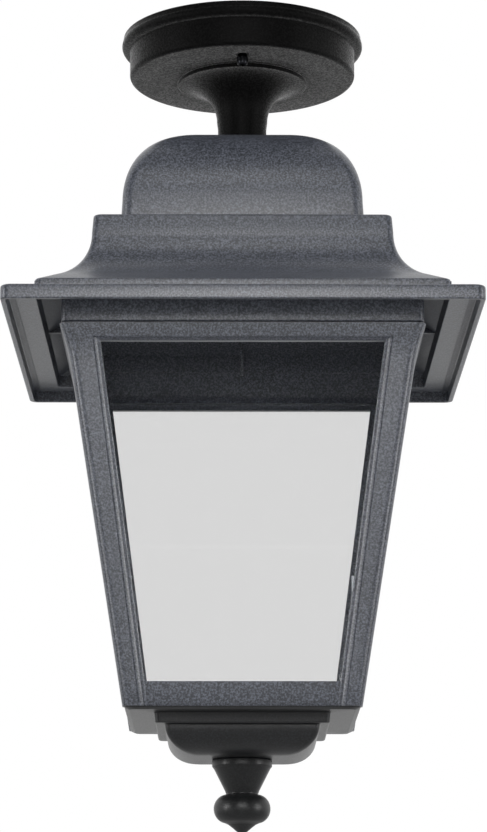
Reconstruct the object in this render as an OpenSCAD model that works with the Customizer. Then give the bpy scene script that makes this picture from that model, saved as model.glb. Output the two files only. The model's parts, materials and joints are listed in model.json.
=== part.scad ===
// Porch ceiling lantern: a cast rose and bell stem carry a domed, square ogee roof,
// and a tapering four-sided glazed basket hinges down from the back of its eaves.
// Millimetres. Origin at the middle of the ceiling face of the rose, +Z up, front at -Y.

/* [Canopy rose] */
// Outer radius of the rolled rim
rim_r = 60; // [56:0.5:70]
// Height of the rolled rim
rim_h = 7.1; // [6:0.1:8]
// Outer radius of the rose wall
wall_r = 56; // [52:0.5:58]
// Height of the rose
canopy_h = 21.3; // [19:0.1:26]
// Wall thickness of the rose
canopy_t = 2.5; // [2:0.1:3]
// Radius of the rose's lower edge
canopy_edge_r = 3; // [2.5:0.5:6]

/* [Ceiling plate] */
// Radius of the steel plate
plate_r = 50; // [46:0.5:51]
// Thickness of the steel plate
plate_t = 2; // [1.5:0.1:2.5]
// Distance between the two fixing slots
slot_spacing = 70; // [66:1:74]
// End-to-end length of a fixing slot
slot_length = 18; // [12:1:20]
// Width of a fixing slot
slot_w = 5; // [4:0.2:6]
// Radius of the cable hole
cable_hole_r = 10; // [8:0.5:12]
// Distance of each rose screw from the axis
rose_screw_y = 35.6; // [35.4:0.2:38]

/* [Stem] */
// Height of the stem from the dome to the rose
stem_h = 36.7; // [34:0.1:60]
// Radius of the round stem
stem_r = 12; // [11:0.1:13]
// Radius of the bell's flange
flange_r = 32.3; // [31:0.1:33]
// Thickness of the bell's flange
flange_t = 2.2; // [1.6:0.1:3]
// Radius of the bell's hollow curve
bell_curve_r = 19; // [16:0.5:19]
// Thickness of the gasket on the flange
gasket_t = 0.8; // [0.5:0.1:1.2]
// Outer radius of the threaded tube
tube_r = 5; // [4.5:0.1:5.5]
// Bore radius of the threaded tube
tube_bore_r = 3.9; // [3:0.1:4]

/* [Dome] */
// Width of the dome at its foot
dome_w = 116; // [108:0.2:118]
// Height of the dome
dome_h = 52.1; // [50:0.1:60]
// Width of the dome's flat top
dome_flat_w = 47; // [36:1:52]
// Height of the rounded shoulder
dome_shoulder_h = 41; // [34:0.5:44]
// Wall thickness of the dome
dome_t = 2.7; // [2.2:0.1:3.2]
// Corner radius at the dome's foot
dome_corner_r = 5; // [4:0.5:8]

/* [Roof] */
// Height of the roof from the eaves lip to the ledge
roof_h = 51.4; // [50:0.1:60]
// Width of the ledge that the dome stands on
ledge_w = 140.6; // [134:0.2:144]
// Thickness of the roof casting
roof_t = 2.5; // [2:0.1:2.8]
// Width of the square opening through the ledge
ledge_hole_w = 82; // [76:1:86]
// Depth of the upright side before the hollow curve starts
upright_h = 8.9; // [8:0.1:12]
// Radius of the hollow curve
ogee_r = 27; // [25:0.5:28]
// Width across the step at the foot of the curve
step_w = 191.6; // [190:0.2:197]
// Width across the eaves
eaves_w = 221.6; // [216:0.2:230]
// Height of the eaves fascia
fascia_h = 7; // [6.5:0.1:8]
// Thickness of the lip round the eaves
lip_t = 2.4; // [2:0.1:4]
// Height of the eaves soffit above the lip's lower edge
soffit_h = 5.9; // [5:0.1:6]
// Rise of the soffit towards the roof
soffit_rise = 3; // [2:0.1:3.2]
// Width across the collar round the basket's top
collar_w = 168.4; // [162:0.2:170]
// Thickness of the collar
collar_t = 2.7; // [2.2:0.1:3]
// Reach of the collar below the lip
collar_drop = 4; // [3:0.1:5]
// Height of the rebate line inside the collar
rebate_h = 9.2; // [7:0.1:10]
// Thickness of the cast fins
fin_t = 1.8; // [1.4:0.1:2.4]

/* [Basket] */
// Width across the top of the window frames
basket_top_w = 165.6; // [164:0.2:170]
// How far the frames' faces flare out at the top
flare_out = 2.3; // [0:0.1:2.6]
// Height of the flare
flare_h = 18; // [12:1:18]
// Width across the foot of the window frames
basket_foot_w = 111; // [106:0.2:116]
// Height of the window frames
basket_h = 174.4; // [160:0.2:200]
// Gap between the collar and the window frames
basket_gap = 0.7; // [0.5:0.1:1]
// Depth of a window frame
frame_d = 5.5; // [5:0.1:6]
// Depth of the moulded edge inside a frame's posts
bevel_d = 3; // [2.5:0.1:3.5]
// Width of the moulded edge at the top of a post
bevel_top_w = 3.5; // [3:0.1:4]
// Width of the moulded edge at the foot of a post
bevel_foot_w = 4.2; // [3.5:0.1:4.6]
// Face width of a post at the top
post_top_w = 12.4; // [11.5:0.1:13]
// Face width of a post at the foot
post_foot_w = 8; // [7.5:0.1:8.6]
// Height of the top rail
top_rail_h = 7.4; // [7:0.1:9]
// Height of the bottom rail
bottom_rail_h = 11.4; // [11:0.1:16]
// Radius of the basket's four corners
basket_corner_r = 2.5; // [1.5:0.1:3]
// Gap in each mitred corner joint
mitre_gap = 0.15; // [0.1:0.05:0.2]

/* [Glass] */
// Thickness of a pane
glass_t = 3; // [2.6:0.1:3.4]
// Overlap of a pane behind its frame
glass_lap = 3.5; // [3:0.1:3.6]
// Gap between a pane and what holds it
glass_gap = 0.1; // [0.1:0.05:0.2]
// Width of a pane clip
clip_w = 8; // [6:0.5:10]
// Thickness of the clip strip
clip_t = 1; // [0.8:0.1:1.2]
// Length of a corner angle
angle_l = 34; // [24:1:40]

/* [Base] */
// Width of the base's flat underside
base_flat_w = 104.6; // [102:0.2:105.4]
// Height of the chamfer round the base plate
base_edge_h = 1.4; // [1.2:0.1:1.8]
// Width of the step under the base plate
step_block_w = 82.2; // [78:0.2:86]
// Height of the step under the base plate
step_block_h = 4.8; // [4.4:0.1:6]
// Width of the bowl
bowl_w = 72.2; // [70:0.2:75]
// Height of the bowl
bowl_h = 13.3; // [12:0.1:16]
// Width of the bowl's flat foot
bowl_flat_w = 44; // [38:1:48]
// Wall thickness of the base casting
base_t = 2.6; // [2.2:0.1:3]

/* [Finial] */
// Height of the finial
finial_h = 34.9; // [32:0.5:40]
// Radius of the finial's flange
finial_flange_r = 14.3; // [12:0.1:15]
// Radius of the finial's neck
finial_neck_r = 7.5; // [6:0.1:8]
// Radius of the finial's ball
finial_ball_r = 13.5; // [12:0.1:14]
// Radius of the finial's stud
stud_r = 3; // [2.5:0.1:3.4]

/* [Lampholder] */
// Bore radius of the screw shell
shell_r = 13.25; // [13.2:0.05:13.5]
// Length of the screw shell
shell_l = 22; // [20:0.5:24]
// Depth of the lampholder's contact above the screw shell
contact_rise = 2; // [1.8:0.1:3]
// Outer radius of the ceramic body
holder_r = 20; // [18:0.5:22]
// Height of the ceramic body
holder_body_h = 37; // [36:0.5:40]
// Height of the lampholder's cap
holder_cap_h = 14; // [12:0.5:15]

/* [Hinge] */
// Opening angle of the basket, 0 is shut
open_angle = 0; // [0:1:85]
// Radius of the hinge pins
pin_r = 1.6; // [1.4:0.1:1.8]
// Running clearance of a knuckle on its pin
pin_gap = 0.06; // [0.04:0.01:0.1]
// Width of a hinge leaf
leaf_w = 8.6; // [7:0.2:8.8]
// Thickness of a hinge leaf
leaf_t = 1.5; // [1.2:0.1:1.6]
// Thickness of the cast hinge ears
ear_t = 2.8; // [2.4:0.1:3.2]
// Distance of the hinge axis behind the basket's top
hinge_back = 6.7; // [6.5:0.1:7.1]
// Length of a hinge leaf below the basket's top
leaf_l = 26; // [22:1:32]
// Height of the hinge axis above the lip's lower edge
hinge_up = 4; // [3.6:0.1:4.4]

/* [Hidden] */
$fn = 64;
powder_coat = "#3c3f43";
zinc = "#b9bcc0";
clear = 0.1;       // small clearance where still pieces meet
eps = 0.01;        // overshoot of a cut
corner_steps = 5;  // facets round each corner of a square ring

// Levels, measured down from the ceiling
z_rose = -canopy_h;
z_dome = z_rose - stem_h;
z_ledge = z_dome - dome_h;
z_lip = z_ledge - roof_h;
z_top = z_lip - collar_drop - basket_gap;
z_foot = z_top - basket_h;
z_under = z_foot - base_edge_h;
z_step = z_under - step_block_h;
z_bowl = z_step - bowl_h;

// Taper of the basket
basket_slope = (basket_top_w - basket_foot_w) / 2 / basket_h;
basket_tilt = atan(basket_slope);
function half_at(z) = basket_foot_w / 2 + (z - z_foot) * basket_slope;
// Half width with the flare at the top
function face_at(z) = half_at(z) + flare_out * pow(max(0, 1 - (z_top - z) / flare_h), 2);
face_l = basket_h / cos(basket_tilt);

// Fasteners: shank and head radii and head heights
m4_r = 2;
m4_head_r = 3.6;
m4_head_h = 2.2;
m4_hole_r = 2.2;
rose_head_r = 2.8;
rose_head_h = 4.2;
rose_slot_r = 3.3;
rose_slot_l = 4.6;
nut_af = 14;
nut_h = 4.5;
bolt_pos = 48;
bolt_reach = 9;
lug_w = 11;

// ---- Shared shapes ----

// Points along an arc in a [across, height] profile
function arc(c, r, from, to, n) =
    [for (i = [0:n]) let (a = from + (to - from) * i / n) [c[0] + r * cos(a), c[1] + r * sin(a)]];

// Points along a quarter ellipse that starts level and ends upright
function shoulder(c, rx, rz, n) =
    [for (i = [0:n]) let (a = 90 - 90 * i / n) [c[0] + rx * cos(a), c[1] + rz * sin(a)]];

// A square ring with rounded corners
function square_ring(half, r, z) =
    [for (q = [0:3]) for (i = [0:corner_steps])
        let (a = 90 * q + 90 * i / corner_steps, sx = (q == 0 || q == 3) ? 1 : -1, sy = q < 2 ? 1 : -1)
        [sx * (half - r) + r * cos(a), sy * (half - r) + r * sin(a), z]];

// Adds one corner radius to each point of a profile
function with_radius(points, r) = [for (p = points) [p[0], p[1], r]];

// A closed profile of [half width, height, corner radius], carried round a square
module square_loft(profile) {
    n = len(profile);
    m = 4 * (corner_steps + 1);
    points = [for (p = profile) each square_ring(p[0], p[2], p[1])];
    faces = [for (i = [0:n - 1]) for (j = [0:m - 1])
        let (a = i * m + j, b = i * m + (j + 1) % m,
            c = ((i + 1) % n) * m + (j + 1) % m, d = ((i + 1) % n) * m + j)
        each [[a, b, c], [a, c, d]]];
    polyhedron(points = points, faces = faces);
}

// The solid inside the basket's faces, set in by a depth
module basket_solid(inset, r) {
    flare_steps = 5;
    levels = concat([z_foot], [for (i = [0:flare_steps]) z_top - flare_h * (1 - i / flare_steps)]);
    last = len(levels) - 1;
    m = 4 * (corner_steps + 1);
    points = [for (z = levels) each square_ring(face_at(z) - inset, r, z)];
    sides = [for (i = [0:last - 1]) for (j = [0:m - 1]) let (k = (j + 1) % m, low = i * m, high = low + m)
        each [[high + j, high + k, low + k], [high + j, low + k, low + j]]];
    polyhedron(points = points, faces = concat(sides,
        [[for (j = [0:m - 1]) j]], [[for (j = [m - 1:-1:0]) last * m + j]]));
}

// Lays a drawing, in across and up along the slope, on the outside of a basket face
module on_face(side) {
    rotate([0, 0, 90 * side])
        translate([0, -half_at(z_foot), z_foot])
            rotate([90 + basket_tilt, 0, 0]) children();
}

// The quarter of the basket that belongs to one face, between its mitres
module mitre_wedge(side, gap) {
    reach = eaves_w / 2;
    rotate([0, 0, 90 * side])
        translate([0, -gap * sqrt(2), z_foot - 1])
            linear_extrude(basket_h + 2) polygon([[0, 0], [-reach, -reach], [reach, -reach]]);
}

module hex_nut(af, h, r) {
    difference() {
        cylinder(r = af / 2 / cos(30), h = h, $fn = 6);
        translate([0, 0, -eps]) cylinder(r = r, h = h + 2 * eps);
    }
}

// A pan-head screw, head down, its shank's foot at z = 0
module screw(shank_r, shank_l, head_r, head_h) {
    cylinder(r = shank_r, h = shank_l);
    rotate_extrude() difference() {
        polygon(concat([[0, 0], [head_r, 0]],
            arc([head_r - head_h / 2, -head_h / 2], head_h / 2, 0, -90, 6), [[0, -head_h]]));
    }
}

// Cross recess of a screw head
module cross_recess(r, depth) {
    for (a = [0, 90])
        rotate([0, 0, a]) translate([-r, -r / 6, -eps]) cube([2 * r, r / 3, depth + eps]);
}

module slot_hole(length, w, h) {
    for (s = [-1, 1]) translate([s * (length - w) / 2, 0, 0]) cylinder(r = w / 2, h = h);
    translate([-(length - w) / 2, -w / 2, 0]) cube([length - w, w, h]);
}

// ---- Ceiling plate and rose ----

foot_t = 2;
foot_in_y = rose_screw_y - 5.5;
foot_out_y = rose_screw_y + 7;
foot_w = 13;
foot_z = z_rose + canopy_t + 0.3;
block_at = [-23, 24];
block_size = [26, 12, 10];
earth_at = [23, 24];

module ceiling_plate() {
    color(zinc) difference() {
        union() {
            translate([0, 0, -plate_t]) cylinder(r = plate_r, h = plate_t);
            for (s = [-1, 1]) {
                // Leg and tapped foot for a rose screw
                translate([-foot_w / 2, s > 0 ? foot_out_y - foot_t : -foot_out_y, foot_z])
                    cube([foot_w, foot_t, -foot_z - plate_t + eps]);
                translate([-foot_w / 2, s > 0 ? foot_in_y : -foot_out_y, foot_z])
                    cube([foot_w, foot_out_y - foot_in_y, foot_t]);
            }
        }
        translate([0, 0, -plate_t - 1]) cylinder(r = cable_hole_r, h = plate_t + 2);
        for (s = [-1, 1]) {
            translate([s * slot_spacing / 2, 0, -plate_t - 1]) slot_hole(slot_length, slot_w, plate_t + 2);
            translate([0, s * rose_screw_y, foot_z - 1]) cylinder(r = m4_r + clear, h = foot_t + 2);
        }
        translate([earth_at[0], earth_at[1], -plate_t - 1]) cylinder(r = m4_r + clear, h = plate_t + 2);
    }
}

module terminal_block() {
    pole_pitch = block_size[0] / 3;
    color("#e9e4d6")
        translate([block_at[0], block_at[1], -plate_t - block_size[2]]) difference() {
            translate([-block_size[0] / 2, -block_size[1] / 2, 0]) cube(block_size);
            for (i = [-1, 0, 1]) {
                translate([i * pole_pitch, 0, -eps]) cylinder(r = 1.8, h = 4);
                translate([i * pole_pitch, block_size[1] / 2 + eps, 5.5])
                    rotate([90, 0, 0]) cylinder(r = 1.7, h = block_size[1] + 2 * eps);
            }
            for (i = [-0.5, 0.5])
                translate([i * pole_pitch - 0.5, -block_size[1] / 2 - eps, -eps])
                    cube([1, block_size[1] + 2 * eps, 3]);
        }
}

module earth_screw() {
    washer_t = 1;
    color("#c9a64b") translate([earth_at[0], earth_at[1], -plate_t - washer_t]) {
        difference() {
            screw(m4_r, plate_t + washer_t - 0.3, m4_head_r, m4_head_h);
            translate([0, 0, -m4_head_h]) cross_recess(2, 1);
        }
        difference() {
            cylinder(r = m4_head_r + 1.4, h = washer_t);
            translate([0, 0, -eps]) cylinder(r = m4_r - clear, h = washer_t + 2 * eps);
        }
    }
}

module canopy() {
    rim_round = 2.9;
    inner_r = wall_r - canopy_t;
    inner_edge_r = canopy_edge_r - canopy_t / 2;
    color(powder_coat) difference() {
        rotate_extrude($fn = 128) polygon(concat(
            [[inner_r, 0]],
            arc([rim_r - 1.5, -1.5], 1.5, 90, 0, 4),
            arc([rim_r - rim_round, -rim_h + rim_round], rim_round, 0, -90, 7),
            [[wall_r, -rim_h]],
            arc([wall_r - canopy_edge_r, z_rose + canopy_edge_r], canopy_edge_r, 0, -90, 8),
            [[tube_r + 0.3, z_rose], [tube_r + 0.3, z_rose + canopy_t]],
            arc([inner_r - inner_edge_r, z_rose + canopy_t + inner_edge_r], inner_edge_r, -90, 0, 6)));
        // Keyhole slots for the rose screws
        for (s = [-1, 1]) {
            translate([0, s * (rose_screw_y + rose_slot_l), z_rose - 1]) cylinder(r = rose_slot_r, h = canopy_t + 2);
            translate([0, s * rose_screw_y, z_rose - 1]) cylinder(r = m4_hole_r, h = canopy_t + 2);
            translate([-m4_hole_r, s > 0 ? rose_screw_y : -rose_screw_y - rose_slot_l, z_rose - 1])
                cube([2 * m4_hole_r, rose_slot_l, canopy_t + 2]);
        }
    }
}

module canopy_screw(side) {
    color("#2a2b2d") translate([0, side * rose_screw_y, z_rose]) difference() {
        screw(m4_r, foot_z - z_rose + foot_t + 2, rose_head_r, rose_head_h);
        translate([0, 0, -rose_head_h]) cross_recess(2, 1.4);
    }
}

module canopy_screw_front() { canopy_screw(-1); }
module canopy_screw_rear() { canopy_screw(1); }

module canopy_nut() {
    color(zinc) translate([0, 0, z_rose + canopy_t]) hex_nut(nut_af, nut_h, tube_r + clear / 2);
}

// ---- Stem ----

module stem_gasket() {
    color("#1b1b1c") translate([0, 0, z_rose - gasket_t]) difference() {
        cylinder(r = flange_r - 1.5, h = gasket_t);
        translate([0, 0, -eps]) cylinder(r = flange_r - 5, h = gasket_t + 2 * eps);
    }
}

module stem() {
    flange_z = z_rose - gasket_t;
    bell_z = flange_z - flange_t;
    wall = 3.2;
    curve_x = stem_r + 0.5 + bell_curve_r;
    hollow_r = bell_curve_r + wall;
    color(powder_coat) rotate_extrude($fn = 96) polygon(concat(
        [[flange_r - 4, flange_z], [flange_r - 0.8, flange_z], [flange_r, flange_z - 0.8],
         [flange_r, bell_z + 0.6], [flange_r - 0.6, bell_z]],
        arc([curve_x, bell_z - bell_curve_r], bell_curve_r, 90, 180, 14),
        [[stem_r, bell_z - bell_curve_r - 4], [stem_r, z_dome], [tube_r + 0.3, z_dome],
         [tube_r + 0.3, bell_z - bell_curve_r]],
        [for (p = arc([curve_x, bell_z - bell_curve_r], hollow_r, 168, 110, 9)) [max(p[0], tube_r + 0.3), p[1]]]));
}

tube_top_z = z_rose + canopy_t + nut_h + 2;
holder_top_z = z_dome - dome_t - nut_h - 0.3;
tube_foot_z = holder_top_z - 6;

module stem_tube() {
    color(zinc) translate([0, 0, tube_foot_z]) difference() {
        cylinder(r = tube_r, h = tube_top_z - tube_foot_z);
        translate([0, 0, -eps]) cylinder(r = tube_bore_r, h = tube_top_z - tube_foot_z + 2 * eps);
    }
}

// ---- Dome ----

module dome() {
    half = dome_w / 2;
    flat = dome_flat_w / 2;
    side_z = z_dome - dome_shoulder_h;
    draft = 0.6;
    // Softer corners towards the top
    function corner(z) = dome_corner_r + 5 * pow(max(0, (z - z_ledge) / dome_h), 2);
    outside = [for (p = shoulder([flat, side_z], half - draft - flat, dome_shoulder_h, 11)) [p[0], p[1], corner(p[1])]];
    inside = [for (p = shoulder([flat, side_z], half - draft - flat - dome_t, dome_shoulder_h - dome_t, 9))
        [p[0], p[1], corner(p[1]) - dome_t * 0.8]];
    function backwards(list) = [for (i = [len(list) - 1:-1:0]) list[i]];
    lug_h = 12;
    color(powder_coat) difference() {
        union() {
            square_loft(concat([[3.4, z_dome, 3.2]], outside, [[half, z_ledge, dome_corner_r],
                [half - dome_t, z_ledge, dome_corner_r - dome_t * 0.8]], backwards(inside),
                [[3.4, z_dome - dome_t, 3.2]]));
            for (sx = [-1, 1]) for (sy = [-1, 1])
                translate([sx * (half - 2 - lug_w / 2) - lug_w / 2, sy * (half - 2 - lug_w / 2) - lug_w / 2, z_ledge])
                    cube([lug_w, lug_w, lug_h]);
        }
        translate([0, 0, z_dome - dome_t - 1]) cylinder(r = tube_r + 0.3, h = dome_t + 2);
        for (sx = [-1, 1]) for (sy = [-1, 1])
            translate([sx * bolt_pos, sy * bolt_pos, z_ledge - eps]) cylinder(r = m4_r + clear / 2, h = bolt_reach + 0.5);
    }
}

module dome_nut() {
    color(zinc) translate([0, 0, z_dome - dome_t - nut_h]) hex_nut(nut_af, nut_h, tube_r + clear / 2);
}

// ---- Roof ----

collar_half = collar_w / 2;
collar_in = collar_half - collar_t;
eaves_half = eaves_w / 2;
step_half = step_w / 2;
upright_half = ledge_w / 2 + 0.7;
curve_at = [upright_half + ogee_r, roof_h - upright_h];
soffit_in = step_half - 0.5;
channel_z = soffit_h + soffit_rise + 2;
inner_ogee_r = ogee_r + roof_t;
// Height of the ogee's inner face over a distance from the axis
function inner_ogee(x) = curve_at[1] - sqrt(pow(inner_ogee_r, 2) - pow(curve_at[0] - x, 2));
hinge_y = basket_top_w / 2 + hinge_back;
hinge_z = z_lip + hinge_up;
hinge_x = basket_top_w / 2 - 7.9;

module roof_shell() {
    hip_r = 3;
    flare_end = 65;
    outside = concat(
        with_radius([[ledge_hole_w / 2, roof_h]], 6),
        with_radius(arc([ledge_w / 2 - 1.5, roof_h - 1.5], 1.5, 90, 0, 3), hip_r),
        with_radius(arc(curve_at, ogee_r, 180, 180 + flare_end, 9), hip_r),
        with_radius(arc([step_half - 1.5, channel_z + 0.9], 1.5, 90, 0, 3), hip_r),
        [[step_half, fascia_h + 3.1, hip_r]],
        with_radius(arc([eaves_half - 1.5, fascia_h - 1.5], 1.5, 76, 0, 3), 4),
        with_radius(arc([eaves_half - 1, 1], 1, 0, -90, 2), 4));
    inside = concat(
        with_radius([[eaves_half - lip_t + 0.4, 0], [eaves_half - lip_t, 0.4], [eaves_half - lip_t, soffit_h]], 1.6),
        with_radius([[soffit_in, soffit_h + soffit_rise], [soffit_in - 0.6, channel_z]], 1.2),
        with_radius([[collar_half, inner_ogee(collar_half)], [collar_half, 0.8 - collar_drop],
            [collar_half - 0.8, -collar_drop]], 3),
        with_radius([[collar_in, -collar_drop], [collar_in, rebate_h], [collar_in - 0.8, rebate_h]], 1),
        with_radius([for (i = [0:6]) let (a = acos((curve_at[0] - collar_in + 0.8) / inner_ogee_r) * (1 - i / 6))
            [curve_at[0] - inner_ogee_r * cos(a), curve_at[1] - inner_ogee_r * sin(a)]], 1.2),
        with_radius([[ledge_w / 2 - roof_t, roof_h - 3]], 1.2),
        with_radius([[ledge_hole_w / 2, roof_h - 3]], 6));
    translate([0, 0, z_lip]) square_loft(concat(outside, inside));
}

// Cast fins at the middle of each side, in the channel and inside the collar
module roof_fins() {
    in_x = collar_in - 0.8;
    translate([0, 0, z_lip]) for (a = [0:90:270]) rotate([0, 0, a]) rotate([90, 0, 0]) {
        translate([0, 0, -fin_t / 2]) linear_extrude(fin_t)
            polygon([[collar_half - 0.6, channel_z - 0.4], [soffit_in + 0.4, channel_z - 0.4],
                [soffit_in + 0.4, channel_z + 0.9], [collar_half - 0.6, inner_ogee(collar_half - 0.6) + 0.8]]);
        translate([0, 0, -fin_t / 2]) linear_extrude(fin_t)
            polygon([[in_x + 1.4, rebate_h - 1.5], [in_x - 2, rebate_h - 1.5],
                [in_x - 4.6, inner_ogee(in_x - 4.6) + 0.9], [in_x - 3.4, inner_ogee(in_x - 3.4) + 1.4],
                [in_x + 1.4, inner_ogee(in_x + 1.4) + 1.2]]);
    }
}

// Small gussets between lip and soffit, towards the corners at the front and the back
module roof_gussets() {
    gusset_x = step_half - 1.5;
    for (sx = [-1, 1]) for (sy = [-1, 1])
        translate([sx * gusset_x - 0.8, sy > 0 ? step_half + 1.5 : -eaves_half + lip_t - 0.6, z_lip + soffit_h - 0.8])
            cube([1.6, eaves_half - lip_t - step_half - 0.9, soffit_rise + 0.6]);
}

// Pairs of ears that carry the hinge pins in the rear channel
module roof_ears() {
    ear_r = pin_r + 2.6;
    for (s = [-1, 1]) for (e = [-1, 1])
        translate([s * hinge_x + e * (leaf_w / 2 + 0.3 + ear_t / 2) - ear_t / 2, 0, z_lip]) difference() {
            rotate([90, 0, 90]) linear_extrude(ear_t) union() {
                translate([hinge_y, hinge_up]) circle(r = ear_r);
                polygon([[hinge_y - ear_r, hinge_up], [hinge_y + ear_r, hinge_up],
                    [hinge_y + ear_r, channel_z + 2], [hinge_y - ear_r, inner_ogee(hinge_y - ear_r) + 1]]);
            }
            translate([-1, hinge_y, hinge_up]) rotate([0, 90, 0]) cylinder(r = pin_r + 0.02, h = ear_t + 2);
        }
}

module roof() {
    color(powder_coat) difference() {
        union() {
            roof_shell();
            roof_fins();
            roof_gussets();
            roof_ears();
        }
        for (sx = [-1, 1]) for (sy = [-1, 1])
            translate([sx * bolt_pos, sy * bolt_pos, z_ledge - 4]) cylinder(r = m4_hole_r, h = 6);
    }
}

module roof_screw(sx, sy) {
    color(zinc) translate([sx * bolt_pos, sy * bolt_pos, z_ledge - 3]) difference() {
        screw(m4_r, bolt_reach + 2.5, m4_head_r, m4_head_h);
        translate([0, 0, -m4_head_h]) cross_recess(2, 1);
    }
}

module roof_screw_1() { roof_screw(1, 1); }
module roof_screw_2() { roof_screw(-1, 1); }
module roof_screw_3() { roof_screw(-1, -1); }
module roof_screw_4() { roof_screw(1, -1); }

// ---- Lampholder ----

holder_body_z = holder_top_z - holder_cap_h;
holder_foot_z = holder_body_z - holder_body_h;
contact_z = holder_foot_z + 1 + shell_l + contact_rise;

module holder_cap() {
    color(zinc) translate([0, 0, holder_body_z]) difference() {
        rotate_extrude() polygon(concat([[tube_r + clear / 2, holder_cap_h]],
            arc([11, holder_cap_h - 3], 3, 90, 0, 5), [[14, 6], [holder_r - 3, 3], [holder_r - 3, 0],
            [holder_r - 5, 0], [holder_r - 5, 2], [tube_r + clear / 2, 4]]));
    }
}

module holder_body() {
    bore_r = shell_r + 0.75;
    color("#e8e5dc") translate([0, 0, holder_foot_z]) difference() {
        rotate_extrude() polygon(concat([[0, 0], [holder_r - 1.5, 0]],
            arc([holder_r - 1.5, 1.5], 1.5, -90, 0, 4), [[holder_r, holder_body_h - 12], [holder_r - 2, holder_body_h - 9],
            [holder_r - 2, holder_body_h - 1], [holder_r - 3, holder_body_h], [0, holder_body_h]]));
        translate([0, 0, -eps]) cylinder(r = bore_r, h = contact_z - holder_foot_z + 1.5);
        translate([0, 0, shell_l]) cylinder(r = 6, h = holder_body_h);
    }
}

module holder_shell() {
    shell_t = 0.6;
    color("#c8a75a") translate([0, 0, holder_foot_z + 1]) difference() {
        cylinder(r = shell_r + shell_t, h = shell_l);
        translate([0, 0, -eps]) cylinder(r = shell_r, h = shell_l + 2 * eps);
    }
}

module holder_contact() {
    color("#c8a75a") translate([0, 0, contact_z]) {
        cylinder(r = 5.8, h = 1.4);
        rotate_extrude() polygon(concat([[0, 0.5], [2.5, 0.5]], arc([1.6, -0.4], 1.3, 30, -90, 5), [[0, -1.7]]));
    }
}

// ---- Hinge pins and catch springs ----

module hinge_pin(s) {
    l = leaf_w + 0.6 + 2 * ear_t;
    color(zinc) translate([s * hinge_x - l / 2, hinge_y, hinge_z]) rotate([0, 90, 0]) {
        cylinder(r = pin_r, h = l + 0.8);
        translate([0, 0, -0.9]) cylinder(r = pin_r + 0.9, h = 0.9);
    }
}

module hinge_pin_left() { hinge_pin(-1); }
module hinge_pin_right() { hinge_pin(1); }

// A bowed strip riveted inside the collar that grips the back of the front top rail
module catch_spring(s) {
    spring_w = 12;
    t = 0.7;
    wall_y = collar_in - clear;
    rail_y = half_at(z_top - 2) - frame_d / cos(basket_tilt) - 0.5;
    hook_z = z_top - z_lip - 3.2;
    outline = [[wall_y, 7.5], [wall_y, 0.5], [rail_y, hook_z + 2.7], [rail_y, hook_z + 0.9], [rail_y - 1, hook_z]];
    color(zinc) translate([s * collar_in * 0.55 - spring_w / 2, 0, z_lip]) {
        rotate([90, 0, 90]) linear_extrude(spring_w)
            polygon(concat([for (p = outline) [-p[0], p[1]]],
                [for (i = [len(outline) - 1:-1:0]) [-outline[i][0] + t, outline[i][1]]]));
        translate([spring_w / 2, -wall_y + t, 4.5]) rotate([-90, 0, 0]) cylinder(r = 1.8, h = 0.8);
    }
}

module catch_spring_left() { catch_spring(-1); }
module catch_spring_right() { catch_spring(1); }

// ---- Basket ----

// Swings what belongs to the basket about the hinge
module swing() {
    translate([0, hinge_y, hinge_z]) rotate([open_angle, 0, 0])
        translate([0, -hinge_y, -hinge_z]) children();
}

// Heights along the slope of a face, from its foot
opening_foot = bottom_rail_h / cos(basket_tilt);
opening_top = (basket_h - top_rail_h) / cos(basket_tilt);
bevel_lip = 1.2;
foot_in = basket_foot_w / 2 - post_foot_w + 0.6;
top_in = basket_top_w / 2 - post_top_w;
// Half width of the opening's front edge, and of its back edge, up along the slope
function front_edge(b) = foot_in + (top_in - foot_in) * b / face_l;
function back_edge(b) = front_edge(b) - bevel_foot_w - (bevel_top_w - bevel_foot_w) * b / face_l;

// The room in front of the rail and between the moulded edges of the posts
module bevel_cut() {
    below = -4;
    front_top = opening_top + bevel_lip;
    rise = flare_out + 0.5;
    grow = rise / bevel_d;
    points = [
        [-front_edge(below) - grow * bevel_foot_w, below, rise], [front_edge(below) + grow * bevel_foot_w, below, rise],
        [front_edge(front_top) + grow * bevel_top_w, front_top + grow * bevel_lip, rise],
        [-front_edge(front_top) - grow * bevel_top_w, front_top + grow * bevel_lip, rise],
        [-back_edge(below), below, -bevel_d], [back_edge(below), below, -bevel_d],
        [back_edge(opening_top), opening_top, -bevel_d], [-back_edge(opening_top), opening_top, -bevel_d]];
    polyhedron(points = points, faces = [[3, 2, 1, 0], [4, 5, 6, 7],
        [0, 1, 5, 4], [1, 2, 6, 5], [2, 3, 7, 6], [3, 0, 4, 7]]);
}

module window_frame(side) {
    foot_l = basket_foot_w / 2 - frame_d - 2;
    color(powder_coat) swing() difference() {
        union() {
            intersection() {
                basket_solid(0, basket_corner_r);
                mitre_wedge(side, mitre_gap);
                difference() {
                    on_face(side) translate([-eaves_half, -10, -frame_d]) cube([eaves_w, face_l + 20, frame_d + 5]);
                    on_face(side) bevel_cut();
                    on_face(side) translate([0, 0, -frame_d - 1]) linear_extrude(frame_d)
                        polygon([[-back_edge(opening_foot), opening_foot], [back_edge(opening_foot), opening_foot],
                            [back_edge(opening_top), opening_top], [-back_edge(opening_top), opening_top]]);
                }
            }
            // Foot for the base screw
            rotate([0, 0, 90 * side]) translate([-8, -basket_foot_w / 2 + frame_d - 1.2, z_foot + 0.6])
                cube([16, basket_foot_w / 2 - frame_d + 1.2 - screw_in + 5, 2.5]);
        }
        rotate([0, 0, 90 * side]) translate([0, -screw_in, z_foot - 1]) cylinder(r = m4_hole_r, h = 6);
    }
}

module frame_front() { window_frame(0); }
module frame_right() { window_frame(1); }
module frame_rear() { window_frame(2); }
module frame_left() { window_frame(3); }

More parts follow.
